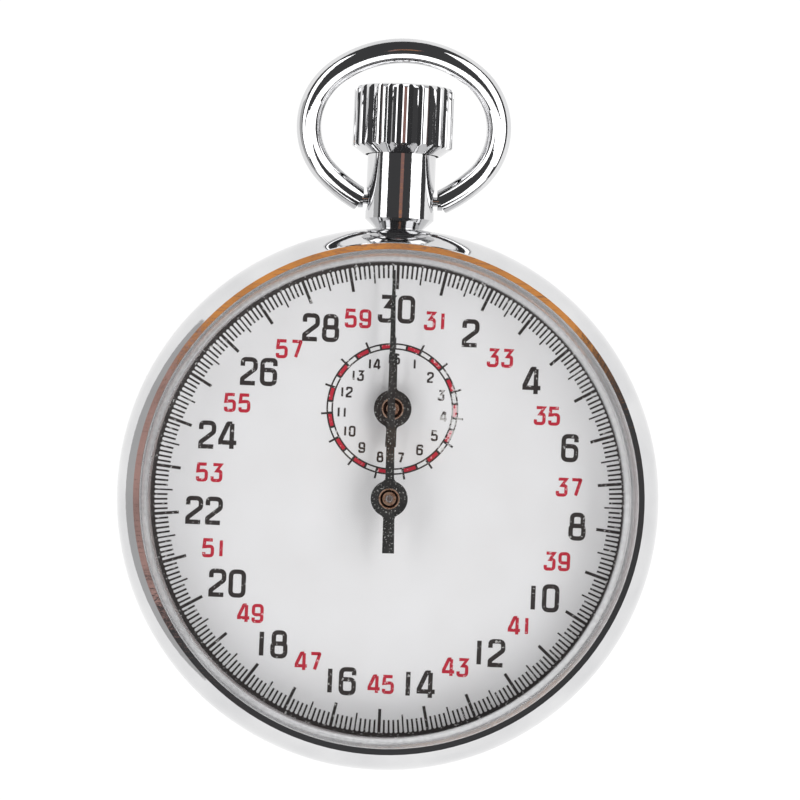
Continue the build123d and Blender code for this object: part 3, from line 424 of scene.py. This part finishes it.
def bush_brass():
    """Brass with painted shade, dark in the groove below each bush's upper face."""
    s = Shader("bush_brass_painted_groove_shade", Metallic=1.0)
    split = s.nodes.new("ShaderNodeSeparateXYZ")
    s.links.new(s.scaled(), split.inputs["Vector"])
    height = split.outputs["Z"]
    upper = s.ranged(height, *SECONDS_BUSH_PAINTED_SHADE)
    lower = s.product(s.ranged(height, *MINUTE_BUSH_PAINTED_SHADE), s.ranged(height, *BETWEEN_BUSHES, 1.0, 0.0))
    grain = s.noise(3.0, 4.0)
    bright = s.mixed(grain, (0.95, 0.68, 0.5), (0.8, 0.55, 0.42))
    # Painted shade: the brass is near black in each bush's groove, below its upper face
    s.colour(s.mixed(s.product(upper, lower, "ADD"), (0.035, 0.025, 0.02), bright))
    s.roughness(s.ranged(grain, 0.3, 0.7, 0.22, 0.38))
    s.bump(grain, 0.003)
    return s.material


def ruby():
    """Clear red synthetic ruby with faint inclusions."""
    s = Shader("synthetic_ruby", Metallic=0.0, IOR=1.77, Transmission_Weight=0.35)
    cloud = s.noise(1.5, 3.0)
    s.colour(s.mixed(cloud, (0.62, 0.02, 0.1), (0.45, 0.01, 0.06)))
    s.roughness(s.ranged(cloud, 0.3, 0.7, 0.03, 0.09))
    return s.material


FINISHES = {
    "case_plating": case_chrome(),
    "crystal_acrylic": crystal_acrylic(),
    "ring_metal": turned_ring(),
    "dial_silver": dial_silver(),
    "plate_metal": metal("brushed_nickel_plate", (0.74, 0.72, 0.66), (0.6, 0.58, 0.52), 0.22, 0.4,
                         grain=1.2, stretch=(6, 0.3, 1)),
    "ruby": ruby(),
    "screw_steel": metal("polished_screw_steel", (0.68, 0.69, 0.72), (0.55, 0.56, 0.6), 0.08, 0.2),
    "steel": metal("ground_steel", (0.68, 0.69, 0.71), (0.55, 0.56, 0.58), 0.15, 0.35,
                   grain=1.5, stretch=(5, 0.4, 1)),
    "spring_steel": metal("blued_spring_steel", (0.12, 0.18, 0.42), (0.2, 0.16, 0.3), 0.15, 0.3),
    "wheel_brass": metal("gilt_wheel_brass", (0.85, 0.66, 0.32), (0.72, 0.52, 0.24), 0.2, 0.35),
    "hand_bush_brass": bush_brass(),
    "hand_black": hand_lacquer(),
}
BLACK_INK = ink("black_dial_ink", (0.032, 0.026, 0.025), (0.5, 0.49, 0.48))
RED_INK = ink("red_dial_ink", (0.52, 0.022, 0.045), (0.78, 0.5, 0.52))
WHITE_INK = ink("white_dial_ink", (0.82, 0.82, 0.82), (0.7, 0.7, 0.7))


def finish_cad_nodes():
    """Gives each CAD node the finish of its material slot."""
    for part in frame["record"]["subparts"]:
        node = frame["nodes"].get(part["node"])
        if node is not None:
            node.data.materials.clear()
            node.data.materials.append(FINISHES[part["material_slot"]])


# The dial's printing

def print_seconds_scale(black):
    """The scalloped outer ring and its ticks in tenths of a second."""
    inner, outer = [], []
    steps = TICKS * 8
    for i in range(steps):
        angle = 360 * i / steps
        wave = abs(sin(radians(angle) * TICKS / 2))
        inner.append(polar(angle, SCALE_RING_R - SCALLOP + 2 * SCALLOP * wave))
        outer.append(polar(angle, DIAL_EDGE_R - 0.01))
    black.strip(inner, outer, INK + 0.002, closed=True)
    for tick in range(TICKS):
        reach, width = next((r, w) for step, r, w in TICK_ENDS if tick % step == 0)
        black.bar(360 * tick / TICKS, reach, SCALE_RING_R + 0.1, width, INK)


def print_seconds_numbers(black, red):
    """Even seconds in black, and the odd seconds of the second half minute in red between them."""
    step = 360 / SECONDS_ON_DIAL
    for second in range(2, SECONDS_ON_DIAL + 2, 2):
        black.label(str(second), step * second, EVEN_TEXT)
    for second in range(SECONDS_ON_DIAL + 1, 2 * SECONDS_ON_DIAL, 2):
        red.label(str(second), step * second, ODD_TEXT)


def print_minute_dial(black, red, white):
    """A black ring with a white and a red box for each minute, ticks outside and numbers inside."""
    black.sector(0, 360, MINUTE_RING_R, INK, MINUTE_CENTRE)
    step = 360 / MINUTES_ON_DIAL
    for minute in range(MINUTES_ON_DIAL):
        angle = step * minute
        black.bar(angle, MINUTE_RING_R[1] - 0.05, MINUTE_TICK_R, 0.2, INK - 0.002, MINUTE_CENTRE)
        white.sector(angle + 1.2, 8.8, MINUTE_BOX_R, INK + 0.004, MINUTE_CENTRE)
        red.sector(angle + 12.0, 11.0, MINUTE_BOX_R, INK + 0.004, MINUTE_CENTRE)
        black.label(str(minute + 1), angle + step, MINUTE_TEXT, MINUTE_CENTRE)


def print_dial():
    """All the dial's printing, as one piece for each ink."""
    black, red, white = Print(), Print(), Print()
    print_seconds_scale(black)
    print_seconds_numbers(black, red)
    print_minute_dial(black, red, white)
    black.make("dial_print_black", BLACK_INK)
    red.make("dial_print_red", RED_INK)
    white.make("dial_print_white", WHITE_INK)


# Stage, light and camera. The table lies just under the watch; level cards hang at the ceiling's height

TABLE_HALF = 3000
TABLE_GAP = 0.02
TABLE_GLOW = 0.97
CEILING = 1200


def card(name, width, depth, place, strength, colour, tilt=0.0):
    """A card of the studio that only bright surfaces mirror, level unless it is tilted about Y."""
    mesh = bpy.data.meshes.new(name)
    corners = [(sx * width / 2, sy * depth / 2, 0) for sx, sy in ((-1, -1), (1, -1), (1, 1), (-1, 1))]
    mesh.from_pydata([Vector(c) * MM for c in corners], [], [(0, 3, 2, 1)])
    piece = bpy.data.objects.new(name, mesh)
    bpy.context.scene.collection.objects.link(piece)
    piece.location = Vector(place) * MM
    piece.rotation_euler.y = radians(tilt)
    piece.visible_camera = piece.visible_diffuse = piece.visible_shadow = False
    glow = bpy.data.materials.new(name)
    glow.use_nodes = True
    nodes = glow.node_tree.nodes
    nodes.remove(nodes["Principled BSDF"])
    emission = nodes.new("ShaderNodeEmission")
    emission.inputs["Color"].default_value = (*colour, 1)
    emission.inputs["Strength"].default_value = strength
    glow.node_tree.links.new(emission.outputs["Emission"], nodes["Material Output"].inputs["Surface"])
    mesh.materials.append(glow)


def softbox(name, place, long, short, power):
    """A rectangular studio light aimed at the watch, with its long side level."""
    light = bpy.data.lights.new(name, "AREA")
    light.shape = "RECTANGLE"
    light.size, light.size_y = long * MM, short * MM
    light.energy = power
    lamp = bpy.data.objects.new(name, light)
    bpy.context.scene.collection.objects.link(lamp)
    lamp.location = Vector(place) * MM
    lamp.rotation_euler = Vector(place).to_track_quat("Z", "Y").to_euler()
    lamp.visible_camera = False


def floor():
    """A plain white table that glows a little, so that it stays clean white under the watch."""
    mesh = bpy.data.meshes.new("white_table")
    corners = [(sx * TABLE_HALF, sy * TABLE_HALF, 0) for sx, sy in ((-1, -1), (1, -1), (1, 1), (-1, 1))]
    mesh.from_pydata([Vector(c) * MM for c in corners], [], [(0, 1, 2, 3)])
    table = bpy.data.objects.new("white_table", mesh)
    bpy.context.scene.collection.objects.link(table)
    table.location.z = -TABLE_GAP * MM
    white = Shader("white_table", Roughness=0.9, Emission_Color=(1, 1, 1, 1), Emission_Strength=TABLE_GLOW)
    white.colour(white.mixed(white.noise(0.01), (0.06, 0.06, 0.06), (0.065, 0.065, 0.065)))
    mesh.materials.append(white.material)


def studio():
    """The table, three softboxes, and cards that tint or shade what the bright metal mirrors."""
    floor()
    softbox("softbox_left", (-620, 0, 403), 1500, 288, 3.4)
    softbox("softbox_right", (575, 0, 466), 1500, 510, 6.0)
    softbox("softbox_bottom", (0, -560, 440), 900, 520, 3.6)
    card("warm_card", 165, 52, (27, 82, CEILING), 0.8, (1.0, 0.42, 0.12))
    card("rose_card", 50, 130, (-75, 20, CEILING), 0.5, (1.0, 0.62, 0.55))
    card("rose_strip", 230, 100, (30, 160, CEILING), 0.3, (1.0, 0.55, 0.48))
    card("grey_flag", 18, 100, (-50, -5, 9), 0.5, (1.0, 1.0, 1.0), tilt=90)
    world = bpy.data.worlds.new("studio_room")
    world.use_nodes = True
    world.node_tree.nodes["Background"].inputs["Color"].default_value = (0.06, 0.06, 0.062, 1)
    bpy.context.scene.world = world


def camera():
    """The camera stands over the watch, a little to the left, with 12 o'clock turned slightly clockwise."""
    place = Vector((-10.0, 0.0, 409.4))
    aim = Vector((0.82, 10.10, 7.4))
    turn = radians(2.4)
    back = (place - aim).normalized()
    right = Vector((-sin(turn), cos(turn), 0)).cross(back).normalized()
    axes = Matrix((right, back.cross(right), back)).transposed().to_4x4()
    lens = bpy.data.cameras.new("camera")
    lens.lens, lens.sensor_width = 177.7, 36
    lens.clip_start, lens.clip_end = 0.01, 20
    eye = bpy.data.objects.new("camera", lens)
    bpy.context.scene.collection.objects.link(eye)
    eye.matrix_world = Matrix.Translation(place * MM) @ axes
    bpy.context.scene.camera = eye
    bpy.context.scene.view_settings.view_transform = "Standard"


finish_cad_nodes()
print_dial()
studio()
camera()
